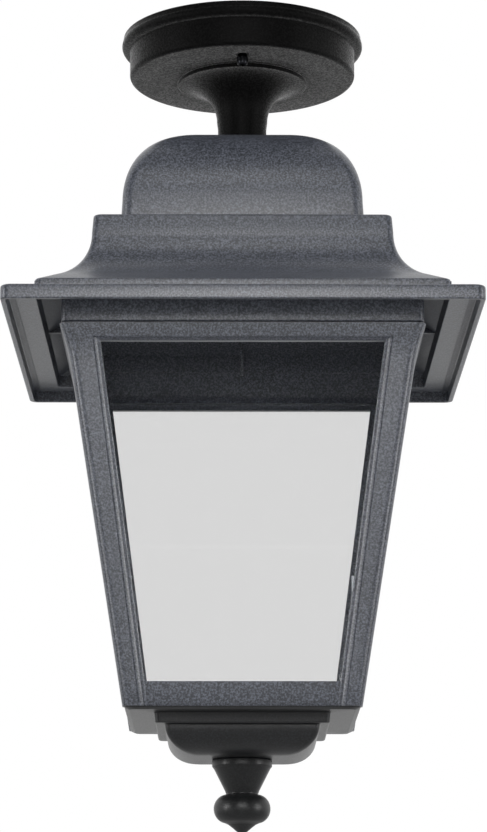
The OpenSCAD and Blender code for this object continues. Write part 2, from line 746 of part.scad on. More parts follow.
module pane(side) {
    low = opening_foot - glass_lap;
    high = opening_top + glass_lap - 1.2;
    foot_lap = glass_lap - 0.9;
    color([0.85, 0.88, 0.88, 0.3]) swing() on_face(side)
        translate([0, 0, -frame_d - glass_gap - glass_t]) linear_extrude(glass_t)
            polygon([[-back_edge(low) - foot_lap, low], [back_edge(low) + foot_lap, low],
                [back_edge(high) + glass_lap, high], [-back_edge(high) - glass_lap, high]]);
}

module pane_front() { pane(0); }
module pane_right() { pane(1); }
module pane_rear() { pane(2); }
module pane_left() { pane(3); }

// A stepped strip, screwed to a post's back, that reaches over the pane's edge
module pane_clip(side, s) {
    b = face_l * (side % 2 == 0 ? 0.42 : 0.5);
    edge = back_edge(b) + glass_lap + 0.8;
    over = glass_t + 2 * glass_gap;
    reach = 2.8;
    foot = 2.8;
    color(zinc) swing() on_face(side) mirror([s < 0 ? 1 : 0, 0, 0])
        translate([0, b + clip_w / 2, -frame_d]) rotate([90, 0, 0]) linear_extrude(clip_w)
            polygon([[edge, 0], [edge + foot, 0], [edge + foot, -clip_t], [edge + clip_t, -clip_t],
                [edge + clip_t, -over - clip_t], [edge - reach, -over - clip_t], [edge - reach, -over], [edge, -over]]);
}

module pane_clip_front_1() { pane_clip(0, 1); }
module pane_clip_front_2() { pane_clip(0, -1); }
module pane_clip_right_1() { pane_clip(1, 1); }
module pane_clip_right_2() { pane_clip(1, -1); }
module pane_clip_rear_1() { pane_clip(2, 1); }
module pane_clip_rear_2() { pane_clip(2, -1); }
module pane_clip_left_1() { pane_clip(3, 1); }
module pane_clip_left_2() { pane_clip(3, -1); }

// One leg of the angle that joins two frames behind their mitre
module angle_leg() {
    high = face_l - 14;
    low = high - angle_l;
    t = 1.4;
    intersection() {
        on_face(0) translate([0, 0, -frame_d - t]) linear_extrude(t)
            polygon([[back_edge(low) + glass_lap + 0.5, low], [eaves_half, low], [eaves_half, high],
                [back_edge(high) + glass_lap + 0.5, high]]);
        mitre_wedge(0, 0);
    }
}

module corner_angle(side) {
    color(zinc) swing() rotate([0, 0, 90 * side]) {
        angle_leg();
        mirror([1, 1, 0]) angle_leg();
    }
}

module corner_angle_1() { corner_angle(0); }
module corner_angle_2() { corner_angle(1); }
module corner_angle_3() { corner_angle(2); }
module corner_angle_4() { corner_angle(3); }

module hinge_leaf(s) {
    knuckle_r = pin_r + pin_gap + leaf_t;
    knee_y = hinge_y - knuckle_r;
    knee_z = z_top + 0.4;
    bend_z = z_top - leaf_l / 10;
    end_z = z_top - leaf_l;
    face_gap = 0.1;
    // Heights where the leaf lies on the frame's flared face
    faces = [bend_z, z_top - flare_h / 2, z_top - flare_h, end_z];
    color(zinc) swing() difference() {
        translate([s * hinge_x - leaf_w / 2, 0, 0]) rotate([90, 0, 90]) linear_extrude(leaf_w) union() {
            translate([hinge_y, hinge_z]) circle(r = knuckle_r);
            polygon(concat([[knee_y, hinge_z], [knee_y, knee_z]], [for (z = faces) [face_at(z) + face_gap, z]],
                [for (i = [len(faces) - 1:-1:0]) [face_at(faces[i]) + face_gap + leaf_t, faces[i]]],
                [[knee_y + leaf_t, knee_z], [knee_y + leaf_t, hinge_z]]));
        }
        translate([s * hinge_x - leaf_w / 2 - 1, hinge_y, hinge_z]) rotate([0, 90, 0])
            cylinder(r = pin_r + pin_gap, h = leaf_w + 2);
        for (z = [z_top - 0.35 * leaf_l, z_top - 0.73 * leaf_l])
            translate([s * hinge_x, face_at(z) + 2 * leaf_t, z]) rotate([90, 0, 0]) cylinder(r = 1.7, h = 4 * leaf_t);
    }
}

module hinge_leaf_left() { hinge_leaf(-1); }
module hinge_leaf_right() { hinge_leaf(1); }

// ---- Base and finial ----

screw_in = step_block_w / 2 - 4.6;

module base() {
    plate_half = basket_foot_w / 2 - 0.3;
    flat = bowl_flat_w / 2;
    bowl_half = bowl_w / 2;
    block_half = step_block_w / 2;
    bowl_top_z = z_step - 0.3;
    bowl_rise = bowl_top_z - z_bowl;
    function curve(rx, rz, r, n) = [for (i = [0:n]) let (a = -90 * i / n) [flat + rx * cos(a), bowl_top_z + rz * sin(a), r]];
    function backwards(list) = [for (i = [len(list) - 1:-1:0]) list[i]];
    floor_z = z_bowl + base_t;
    color(powder_coat) swing() difference() {
        union() {
            square_loft(concat(
                [[block_half - base_t, z_foot, 1.5], [plate_half, z_foot, 4], [base_flat_w / 2, z_under, 3],
                 [block_half, z_under, 2.5], [block_half - 0.5, z_step + 0.5, 2.5], [block_half - 1, z_step, 2.5],
                 [bowl_half + 0.6, z_step, 2.5]],
                curve(bowl_half - flat, bowl_rise, 2.5, 8),
                [[2.2, z_bowl, 2], [2.2, floor_z, 2]],
                backwards(curve(bowl_half - flat - base_t, bowl_rise - base_t, 1.2, 6)),
                [[bowl_half - base_t, z_step + base_t - 0.4, 1.2], [block_half - base_t - 0.4, z_step + base_t, 1.5]]));
            for (a = [0:90:270]) rotate([0, 0, a])
                translate([0, -screw_in, z_step + 1]) cylinder(r = 3.8, h = z_foot + 0.5 - z_step - 1);
        }
        translate([0, 0, z_bowl - 1]) cylinder(r = stud_r + 0.2, h = base_t + 2);
        for (a = [0:90:270]) rotate([0, 0, a])
            translate([0, -screw_in, z_step + 2.2]) cylinder(r = m4_r + clear / 2, h = 8);
    }
}

module base_screw(side) {
    color(zinc) swing() rotate([0, 0, 90 * side]) translate([0, -screw_in, z_foot + 3.1]) mirror([0, 0, 1])
        difference() {
            screw(m4_r, 6, m4_head_r, m4_head_h);
            translate([0, 0, -m4_head_h]) cross_recess(2, 1);
        }
}

module base_screw_front() { base_screw(0); }
module base_screw_right() { base_screw(1); }
module base_screw_rear() { base_screw(2); }
module base_screw_left() { base_screw(3); }

module finial() {
    flange_h = 4.3;
    cone_h = 12.2;
    ball_h = 13.4;
    ball_z = z_bowl - flange_h - cone_h - ball_h / 2;
    tip_z = z_bowl - finial_h;
    stud_top = z_bowl + base_t + nut_h + 1.5;
    // Flattened ball between the neck and the tip
    ball = [for (i = [0:14]) let (a = 76 - 150 * i / 14) [finial_ball_r - 6.2 + 6.2 * cos(a), ball_z + ball_h / 2 * sin(a)]];
    color(powder_coat) swing() rotate_extrude() polygon(concat(
        [[0, stud_top], [stud_r - 0.5, stud_top], [stud_r, stud_top - 0.5], [stud_r, z_bowl],
         [finial_flange_r - 0.7, z_bowl], [finial_flange_r, z_bowl - 0.7]],
        arc([finial_flange_r - 1.2, z_bowl - flange_h + 1.2], 1.2, 0, -45, 3),
        [[finial_neck_r + 0.6, z_bowl - flange_h - cone_h + 1.6], [finial_neck_r, z_bowl - flange_h - cone_h]],
        ball,
        [[4.4, tip_z + 2.6], [2.2, tip_z + 0.7], [0, tip_z]]));
}

module finial_nut() {
    color(zinc) swing() translate([0, 0, z_bowl + base_t]) hex_nut(10, nut_h, stud_r + clear / 2);
}

ceiling_plate();
terminal_block();
earth_screw();
canopy();
canopy_screw_front();
canopy_screw_rear();
canopy_nut();
stem_gasket();
stem();
stem_tube();
dome();
dome_nut();
roof();
roof_screw_1();
roof_screw_2();
roof_screw_3();
roof_screw_4();
holder_cap();
holder_body();
holder_shell();
holder_contact();
hinge_pin_left();
hinge_pin_right();
catch_spring_left();
catch_spring_right();
frame_front();
frame_right();
frame_rear();
frame_left();
pane_front();
pane_right();
pane_rear();
pane_left();
pane_clip_front_1();
pane_clip_front_2();
pane_clip_right_1();
pane_clip_right_2();
pane_clip_rear_1();
pane_clip_rear_2();
pane_clip_left_1();
pane_clip_left_2();
corner_angle_1();
corner_angle_2();
corner_angle_3();
corner_angle_4();
hinge_leaf_left();
hinge_leaf_right();
base();
base_screw_front();
base_screw_right();
base_screw_rear();
base_screw_left();
finial();
finial_nut();
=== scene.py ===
"""Porch ceiling lantern in black powder coat with clear panes, hung in a white studio.

Shapes are worked out in millimetres, with heights below the ceiling, and turned to
metres where a mesh is made.
"""
from math import cos, pi, radians, sin, sqrt, tan

import bmesh
import bpy
from mathutils import Matrix, Vector
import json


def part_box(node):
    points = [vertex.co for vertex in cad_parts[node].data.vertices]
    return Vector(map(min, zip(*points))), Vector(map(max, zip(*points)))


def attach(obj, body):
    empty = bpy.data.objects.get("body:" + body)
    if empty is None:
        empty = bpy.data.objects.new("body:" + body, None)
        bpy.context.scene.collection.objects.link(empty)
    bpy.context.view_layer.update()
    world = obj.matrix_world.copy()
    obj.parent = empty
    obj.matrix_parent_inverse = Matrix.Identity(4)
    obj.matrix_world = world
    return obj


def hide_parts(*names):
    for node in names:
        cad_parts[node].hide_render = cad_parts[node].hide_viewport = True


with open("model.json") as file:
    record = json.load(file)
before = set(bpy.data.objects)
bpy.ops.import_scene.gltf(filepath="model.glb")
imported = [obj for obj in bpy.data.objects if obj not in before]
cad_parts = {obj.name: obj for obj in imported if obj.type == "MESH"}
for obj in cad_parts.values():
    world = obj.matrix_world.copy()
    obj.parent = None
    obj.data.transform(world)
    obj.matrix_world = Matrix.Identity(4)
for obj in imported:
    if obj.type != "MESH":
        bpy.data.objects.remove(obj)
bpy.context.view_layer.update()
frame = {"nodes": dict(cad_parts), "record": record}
MM = 0.001
SIDES = (-1, 1)


# ---- Colours and nodes ----

def srgb(hex_colour):
    """An sRGB hex value as linear red, green, blue and alpha."""
    channels = [int(hex_colour[i:i + 2], 16) / 255 for i in (1, 3, 5)]
    return [c / 12.92 if c <= 0.04045 else ((c + 0.055) / 1.055) ** 2.4 for c in channels] + [1]


def cells(size_mm):
    """The noise scale whose cells are this many millimetres across."""
    return 1 / (size_mm * MM)


def add_node(tree, kind, links=None, **settings):
    """A new node with its settings; links name its inputs, each a value or another node's output."""
    node = tree.nodes.new(kind)
    for name, value in settings.items():
        setattr(node, name, value)
    for name, value in (links or {}).items():
        if isinstance(value, bpy.types.NodeSocket):
            tree.links.new(value, node.inputs[name])
        else:
            node.inputs[name].default_value = value
    return node


def new_material(name):
    """An empty node material, its tree, its output node and the surface's own coordinates."""
    material = bpy.data.materials.new(name)
    material.use_nodes = True
    tree = material.node_tree
    tree.nodes.clear()
    out = add_node(tree, "ShaderNodeOutputMaterial")
    return material, tree, out, add_node(tree, "ShaderNodeTexCoord").outputs["Object"]


# ---- Finishes ----

def powder_coat(name, colour, fleck, roughness, coat, coat_roughness=0.3, ior=1.5, bloom=0.0):
    """Fine-texture polyester powder on cast aluminium: a matt black skin with a
    pebbled bloom that turns pale where it is seen along its surface."""
    material, tree, out, place = new_material(name)
    # Powder grit is about 0.25 mm; drawn at 0.91 mm so that it shows
    grit = add_node(tree, "ShaderNodeTexNoise", {
        "Vector": place, "Scale": cells(0.909), "Detail": 3, "Roughness": 0.6}).outputs["Fac"]
    orange_peel = add_node(tree, "ShaderNodeTexNoise", {
        "Vector": place, "Scale": cells(3.85), "Detail": 2}).outputs["Fac"]
    cloud = add_node(tree, "ShaderNodeTexNoise", {
        "Vector": place, "Scale": cells(45.5), "Detail": 3}).outputs["Fac"]
    speck = add_node(tree, "ShaderNodeValToRGB", {"Fac": grit})
    for stop, position, hex_colour in zip(speck.color_ramp.elements, (0.42, 0.66), (colour, fleck)):
        stop.position = position
        stop.color = srgb(hex_colour)
    tone = add_node(tree, "ShaderNodeMapRange", {
        "Value": cloud, "From Min": 0.3, "From Max": 0.7, "To Min": 0.94, "To Max": 1.06})
    tint = add_node(tree, "ShaderNodeVectorMath", {
        0: speck.outputs["Color"], "Scale": tone.outputs["Result"]}, operation="SCALE")
    pebbles = add_node(tree, "ShaderNodeBump", {"Height": grit, "Strength": 0.4, "Distance": 0.0002})
    bump = add_node(tree, "ShaderNodeBump", {
        "Height": orange_peel, "Strength": 0.2, "Distance": 0.0003, "Normal": pebbles.outputs["Normal"]})
    gloss = add_node(tree, "ShaderNodeMapRange", {
        "Value": grit, "From Min": 0.35, "From Max": 0.65, "To Min": roughness - 0.04,
        "To Max": roughness + 0.04})
    # Loose grit catches light along the surface
    dust = add_node(tree, "ShaderNodeMapRange", {
        "Value": grit, "From Min": 0.42, "From Max": 0.62, "To Min": 0.25 * bloom, "To Max": bloom})
    skin = add_node(tree, "ShaderNodeBsdfPrincipled", {
        "Base Color": tint.outputs["Vector"], "Roughness": gloss.outputs["Result"], "IOR": ior,
        "Sheen Weight": dust.outputs["Result"], "Sheen Roughness": 0.35,
        "Normal": bump.outputs["Normal"], "Coat Weight": coat, "Coat Roughness": coat_roughness})
    tree.links.new(skin.outputs["BSDF"], out.inputs["Surface"])
    return material


def plated_metal(name, colour, roughness, mark_mm=1.11):
    """Plated steel or brass: bright metal with faint rolling marks along its height."""
    material, tree, out, place = new_material(name)
    stretch = add_node(tree, "ShaderNodeMapping", {"Vector": place, "Scale": (1, 1, 0.06)})
    marks = add_node(tree, "ShaderNodeTexNoise", {
        "Vector": stretch.outputs["Vector"], "Scale": cells(mark_mm), "Detail": 3}).outputs["Fac"]
    tone = add_node(tree, "ShaderNodeMapRange", {
        "Value": marks, "From Min": 0.3, "From Max": 0.7, "To Min": 0.8, "To Max": 1.1})
    tint = add_node(tree, "ShaderNodeVectorMath", {
        0: srgb(colour)[:3], "Scale": tone.outputs["Result"]}, operation="SCALE")
    gloss = add_node(tree, "ShaderNodeMapRange", {
        "Value": marks, "From Min": 0.3, "From Max": 0.7, "To Min": roughness - 0.08,
        "To Max": roughness + 0.1})
    metal = add_node(tree, "ShaderNodeBsdfPrincipled", {
        "Base Color": tint.outputs["Vector"], "Metallic": 1, "Roughness": gloss.outputs["Result"]})
    tree.links.new(metal.outputs["BSDF"], out.inputs["Surface"])
    return material


def moulded(name, colour, roughness, grain_mm=0.625, ior=1.5):
    """Moulded plastic or rubber: an even colour with a faint mould grain."""
    material, tree, out, place = new_material(name)
    grain = add_node(tree, "ShaderNodeTexNoise", {
        "Vector": place, "Scale": cells(grain_mm), "Detail": 2}).outputs["Fac"]
    tone = add_node(tree, "ShaderNodeMapRange", {"Value": grain, "To Min": 0.93, "To Max": 1.05})
    tint = add_node(tree, "ShaderNodeVectorMath", {
        0: srgb(colour)[:3], "Scale": tone.outputs["Result"]}, operation="SCALE")
    bump = add_node(tree, "ShaderNodeBump", {"Height": grain, "Strength": 0.1, "Distance": 0.0001})
    body = add_node(tree, "ShaderNodeBsdfPrincipled", {
        "Base Color": tint.outputs["Vector"], "Roughness": roughness, "IOR": ior,
        "Normal": bump.outputs["Normal"]})
    tree.links.new(body.outputs["BSDF"], out.inputs["Surface"])
    return material


def clear_float_glass(name):
    """Clear 3 mm float glass: next to no colour, a faint ripple some 70 mm long, and
    shadows that let the light through."""
    material, tree, out, place = new_material(name)
    ripple = add_node(tree, "ShaderNodeTexNoise", {"Vector": place, "Scale": cells(71.4), "Detail": 1})
    bump = add_node(tree, "ShaderNodeBump", {
        "Height": ripple.outputs["Fac"], "Strength": 0.02, "Distance": 0.001})
    glass = add_node(tree, "ShaderNodeBsdfPrincipled", {
        "Base Color": srgb("#F2F2F2"), "Roughness": 0, "IOR": 1.5, "Transmission Weight": 1,
        "Normal": bump.outputs["Normal"]})
    through = add_node(tree, "ShaderNodeBsdfTransparent", {"Color": srgb("#F0F1F1")})
    light_path = add_node(tree, "ShaderNodeLightPath")
    mix = add_node(tree, "ShaderNodeMixShader", {
        "Fac": light_path.outputs["Is Shadow Ray"], 1: glass.outputs["BSDF"], 2: through.outputs["BSDF"]})
    tree.links.new(mix.outputs["Shader"], out.inputs["Surface"])
    return material


finish = {
    "powder_coat": powder_coat("black_fine_texture_powder_coat", "#2C2F35", "#656974", 0.46, 0.55),
    "zinc_steel": plated_metal("zinc_plated_steel", "#B4B7BB", 0.36),
    "spring_steel": plated_metal("cold_rolled_spring_steel", "#9A9EA4", 0.3),
    "black_screw": plated_metal("black_zinc_screw", "#2A2B2E", 0.34),
    "brass": plated_metal("plain_brass", "#C9A55A", 0.3),
    "terminal_plastic": moulded("moulded_terminal_nylon", "#DAD6C8", 0.5),
    "holder_plastic": moulded("moulded_thermoset", "#E6E3DA", 0.25),
    "gasket_rubber": moulded("moulded_rubber", "#141414", 0.75),
    "clear_glass": clear_float_glass("clear_float_glass"),
}
# The same powder in darker copies as painted shade, on castings that face away from the light: rose and stem,
# finial, base
deep_shade_black = powder_coat("powder_coat_painted_deep_shade", "#040404", "#0A0A0A", 0.5, 0.0, ior=1.13, bloom=0.95)
# Finial: the powder darkened as painted shade, with lower roughness and more coat for a satin gloss
satin_shaded_black = powder_coat("satin_powder_coat_painted_shade", "#0A0B0C", "#1A1B1C", 0.4, 0.15,
                          coat_roughness=0.4, ior=1.4)
# Base: the powder darkened as painted shade under the frames' overhang
base_shaded_black = powder_coat("base_powder_coat_painted_shade", "#0D0E0F", "#202124", 0.42, 0.25, ior=1.4)

slots = {part["node"]: part["material_slot"] for part in frame["record"]["subparts"]}
for node_name, node_object in frame["nodes"].items():
    node_object.data.materials.clear()
    node_object.data.materials.append(finish[slots[node_name]])


# ---- Sizes, in millimetres, taken from the frame where a node's box gives them ----

LOW, HIGH = 0, 1
ACROSS, DEEP, UP = 0, 1, 2


def extent(node_name, end, axis=UP):
    """How far a CAD node reaches along an axis, to a hundredth of a millimetre."""
    return round(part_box(node_name)[end][axis] / MM, 2)


# Lower face of the rose, flat top of the dome, and the ledge that the dome stands on
ROSE, DOME, LEDGE = extent("canopy", LOW), extent("dome", HIGH), extent("dome", LOW)
# Lower edge of the eaves' lip, which the collar passes by 4 mm
COLLAR_DROP = 4
LIP = extent("roof", LOW) + COLLAR_DROP
# Top and foot of the window frames, and their half widths without the flare at the top
TOP, FOOT = extent("frame_front", HIGH), extent("frame_front", LOW)
FLARE_OUT, FLARE_HEIGHT = 2.3, 18
TOP_HALF, FOOT_HALF = extent("frame_rear", HIGH, DEEP) - FLARE_OUT, 55.5
SLOPE = (TOP_HALF - FOOT_HALF) / (TOP - FOOT)
# Foot of the base's bowl, and the undersides of the square step and of the plate above it
BOWL = extent("base", LOW)
STEP = BOWL + 13.3
UNDER = STEP + 4.8
# Axis of the hinge, and the middle of each leaf
hinge_at = frame["record"]["behaviour"]["joints"][0]["pos_m"]
HINGE_Y, HINGE_Z = round(hinge_at[DEEP] / MM, 2), round(hinge_at[UP] / MM, 2)
HINGE_X = (extent("hinge_leaf_right", LOW, ACROSS) + extent("hinge_leaf_right", HIGH, ACROSS)) / 2
# Hole for the threaded tube
TUBE_HOLE = 5.3
# Points closer than this are one point, in metres
SAME_PLACE = 0.000002
SHARP_ANGLE = 35


# ---- Shapes ----

def arc(centre, radius, start, end, steps):
    """Points along an arc, angles in degrees."""
    angles = [radians(start + (end - start) * i / steps) for i in range(steps + 1)]
    return [(centre[0] + radius * cos(a), centre[1] + radius * sin(a)) for a in angles]


def plain(points, plan_radius=0):
    """Points of an outline as profile points whose edges aren't rounded off."""
    return [(across, up, plan_radius, 0) for across, up in points]


def eased(profile, steps=4):
    """A closed profile whose points are (across, up, plan radius, edge radius), each edge rounded off."""
    # Corners flatter than this stay, and no corner takes more than this share of the edges beside it
    straight, most = radians(170), 0.48
    result = []
    for i, (across, up, plan_radius, edge_radius) in enumerate(profile):
        here = Vector((across, up))
        back = Vector(profile[i - 1][:2]) - here
        ahead = Vector(profile[(i + 1) % len(profile)][:2]) - here
        if not edge_radius or back.angle(ahead) > straight:
            result.append((across, up, plan_radius))
            continue
        cut = min(edge_radius / tan(back.angle(ahead) / 2), back.length * most, ahead.length * most)
        start = here + back.normalized() * cut
        end = here + ahead.normalized() * cut
        for step in range(steps + 1):
            t = step / steps
            point = start * (1 - t) ** 2 + here * 2 * t * (1 - t) + end * t ** 2
            result.append((point.x, point.y, plan_radius))
    return result


def square_ring(half, radius, steps=7):
    """A square with rounded corners, as (x, y) points."""
    points = []
    for quarter in range(4):
        corner_x = (half - radius) * (1 if quarter in (0, 3) else -1)
        corner_y = (half - radius) * (1 if quarter < 2 else -1)
        points += arc((corner_x, corner_y), radius, quarter * 90, quarter * 90 + 90, steps)
    return points


def carried_round(rings):
    """A closed shell through rings of points, the last ring joined to the first."""
    count = len(rings[0])
    points = [point for ring in rings for point in ring]
    faces = []
    for i in range(len(rings)):
        here, ahead = i * count, (i + 1) % len(rings) * count
        for j in range(count):
            beside = (j + 1) % count
            faces.append((here + j, here + beside, ahead + beside, ahead + j))
    return points, faces


def square_casting(profile):
    """A hollow square casting from one closed, eased profile."""
    return carried_round([[(x, y, up) for x, y in square_ring(half, radius)]
                          for half, up, radius in eased(profile)])


def turned(profile, steps=96):
    """A turned part from one closed profile of (radius, up, 0, edge radius)."""
    # Points on the axis stand this far off it, and are merged with the mesh
    least = 0.0005
    angles = [2 * pi * i / steps for i in range(steps)]
    return carried_round([[(max(radius, least) * cos(a), max(radius, least) * sin(a), up) for a in angles]
                          for radius, up, _ in eased(profile)])


def prism(outline, low, high, place):
    """A closed prism of an outline between two depths; place turns (a, b, depth) into a point."""
    count = len(outline)
    points = [place(a, b, depth) for depth in (low, high) for a, b in outline]
    faces = [tuple(range(count)), tuple(range(2 * count - 1, count - 1, -1))]
    faces += [(i, i + count, (i + 1) % count + count, (i + 1) % count) for i in range(count)]
    return points, faces


def block(half_width, half_height):
    """A rectangle about its own middle, as an outline."""
    return [(-half_width, -half_height), (half_width, -half_height),
            (half_width, half_height), (-half_width, half_height)]


def quarter_turn(point, turns):
    """A point turned about the lantern's axis by quarter turns, anticlockwise from above."""
    x, y, z = point
    for _ in range(turns % 4):
        x, y = -y, x
    return x, y, z


# ---- Pieces ----

def add_object(name, data):
    """An object for a mesh, lamp or camera, in the scene."""
    made = bpy.data.objects.new(name, data)
    bpy.context.scene.collection.objects.link(made)
    return made


def bevel_edges(work, width, sharpest):
    """Bevels a bmesh's edges that turn by more than an angle in degrees."""
    sharp = [edge for edge in work.edges
             if len(edge.link_faces) == 2 and edge.calc_face_angle() > radians(sharpest)]
    bmesh.ops.bevel(work, geom=sharp, offset=width * MM, segments=2, profile=0.6, affect="EDGES",
                    clamp_overlap=True)


def shade(mesh, sharp_angle=SHARP_ANGLE):
    """Smooth shading that stops at sharp edges."""
    mesh.shade_smooth()
    mesh.set_sharp_from_angle(angle=radians(sharp_angle))


def mesh_piece(name, shells, bevel=0.0, sharp_angle=SHARP_ANGLE):
    """One mesh object from closed shells in millimetres, outward-facing, its edges bevelled by a width."""
    mesh = bpy.data.meshes.new(name)
    work = bmesh.new()
    for points, faces in shells:
        made = [work.verts.new([c * MM for c in point]) for point in points]
        for face in faces:
            work.faces.new([made[i] for i in face])
    bmesh.ops.remove_doubles(work, verts=work.verts, dist=SAME_PLACE)
    bmesh.ops.recalc_face_normals(work, faces=work.faces)
    if bevel:
        bevel_edges(work, bevel, sharpest=24)
    work.to_mesh(mesh)
    work.free()
    shade(mesh, sharp_angle)
    return add_object(name, mesh)


def dress(piece, slot_name, body, *nodes, look=None):
    """Gives a piece its finish, or a look of its own, and its body, and lets it stand for CAD nodes."""
    piece.data.materials.clear()
    piece.data.materials.append(look or finish[slot_name])
    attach(piece, body)
    if nodes:
        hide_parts(*nodes)


def settle(piece):
    """Applies a piece's modifiers for good."""
    evaluated = piece.evaluated_get(bpy.context.evaluated_depsgraph_get())
    shape = bpy.data.meshes.new_from_object(evaluated)
    piece.modifiers.clear()
    piece.data = shape
    shade(shape)


def eased_node(node_name, width, body):
    """A CAD node copied, cleaned and given softened edges."""
    piece = add_object(node_name + "_eased", frame["nodes"][node_name].data.copy())
    work = bmesh.new()
    work.from_mesh(piece.data)
    bmesh.ops.remove_doubles(work, verts=work.verts, dist=SAME_PLACE)
    bmesh.ops.dissolve_limit(work, angle_limit=radians(1), verts=work.verts, edges=work.edges)
    bevel_edges(work, width, sharpest=50)
    work.to_mesh(piece.data)
    work.free()
    shade(piece.data)
    dress(piece, slots[node_name], body, node_name)


# ---- Rose and stem ----

def rose():
    """Rose with a rolled rim, and a keyhole for each of its two screws."""
    rim, rim_height, bead = extent("canopy", HIGH, ACROSS), 7.1, 2.9
    wall, thickness, edge = 56, 2.5, 2.2
    inner, ceiling_side = wall - thickness, ROSE + thickness
    profile = [(inner, 0, 0, 0), (rim - 0.7, 0, 0, 0.7)]
    profile += plain(arc((rim - bead, bead - rim_height), bead, 40, -90, 10))
    profile += [(wall + 0.2, -rim_height - 0.2, 0, 0.4), (wall, -8, 0, 0.3)]
    profile += plain(arc((wall - edge, ROSE + edge), edge, 0, -90, 9))
    profile += [(TUBE_HOLE, ROSE, 0, 0), (TUBE_HOLE, ceiling_side, 0, 0),
                (inner - 2, ceiling_side, 0, 1.5), (inner, ceiling_side + 2, 0, 0.5)]
    piece = mesh_piece("cast_rose", [turned(profile, 128)])

    head_hole, shank_slot, slot_length, screw_out = 3.3, 2.2, 4.6, 35.6
    keyhole = arc((0, slot_length), head_hole, -20, 200, 14) + arc((0, 0), shank_slot, 180, 360, 10)
    holes = mesh_piece("keyholes", [
        prism(keyhole, ROSE - 2, ROSE + 4, lambda a, b, up, s=s: (a, s * (screw_out + b), up))
        for s in SIDES])
    cut = piece.modifiers.new("keyholes", "BOOLEAN")
    cut.object = holes
    cut.solver = "EXACT"
    settle(piece)
    bpy.data.objects.remove(holes)
    # The rose takes a near-black copy of the powder: painted shade
    dress(piece, "powder_coat", "hung", "canopy", look=deep_shade_black)


def stem():
    """Bell stem: thin flange, hollow quarter-round bell, round shank."""
    flange, flange_top, flange_depth = extent("stem", HIGH, ACROSS), extent("stem", HIGH), 2.2
    shank, curve, wall = 12, 19, 3.2
    bell = flange_top - flange_depth
    centre = (shank + 0.5 + curve, bell - curve)
    profile = [(flange - 4, flange_top, 0, 0), (flange - 0.7, flange_top, 0, 0.3),
               (flange, flange_top - 0.7, 0, 0.5), (flange, bell + 0.6, 0, 0.4), (flange - 0.7, bell, 0, 0.3)]
    profile += plain(arc(centre, curve, 91, 180, 26))
    profile += [(shank, bell - curve - 4, 0, 1.5), (shank, DOME, 0, 0), (TUBE_HOLE, DOME, 0, 0),
                (TUBE_HOLE, bell - curve, 0, 0)]
    hollow = arc(centre, curve + wall, 168, 110, 12)
    profile += plain([(max(across, TUBE_HOLE), up) for across, up in hollow])
    # The stem takes a near-black copy of the powder: painted shade
    dress(mesh_piece("bell_stem", [turned(profile)]), "powder_coat", "hung", "stem", look=deep_shade_black)


# ---- Dome and roof ----

def dome():
    """Domed square casting with soft hips, and a tapped lug in each corner."""
    foot, flat, shoulder_drop, wall, draft = extent("dome", HIGH, ACROSS), 23.5, 41, 2.7, 0.6
    hip, outer_plan, inner_plan, top_plan = 5, 5, 2.8, 5.4

    def shoulder(inset, plan, count):
        """From the flat top to the upright side, its hips rounder towards the top."""
        points = []
        for i in range(count + 1):
            angle = radians(90 * i / count)
            up = DOME - shoulder_drop + (shoulder_drop - inset) * cos(angle)
            rounding = hip * max(0, (up - LEDGE) / (DOME - LEDGE)) ** 2
            points.append((flat + (foot - draft - flat - inset) * sin(angle), up, plan + rounding, 0))
        return points

    profile = [(TUBE_HOLE + 0.2, DOME, top_plan, 0)] + shoulder(0, outer_plan, 28)
    profile += [(foot, LEDGE, outer_plan, 0.5), (foot - wall, LEDGE, inner_plan, 0.4)]
    profile += shoulder(wall, inner_plan, 18)[::-1] + [(TUBE_HOLE + 0.2, DOME - wall, top_plan, 0)]
    shells = [square_casting(profile)]
    lug_half, lug_out, lug_height = 5.5, 50.5, 12
    for sx in SIDES:
        for sy in SIDES:
            shells.append(prism(block(lug_half, lug_half), LEDGE, LEDGE + lug_height,
                                lambda a, b, up, sx=sx, sy=sy: (sx * lug_out + a, sy * lug_out + b, up)))
    dress(mesh_piece("cast_dome", shells), "powder_coat", "hung", "dome")


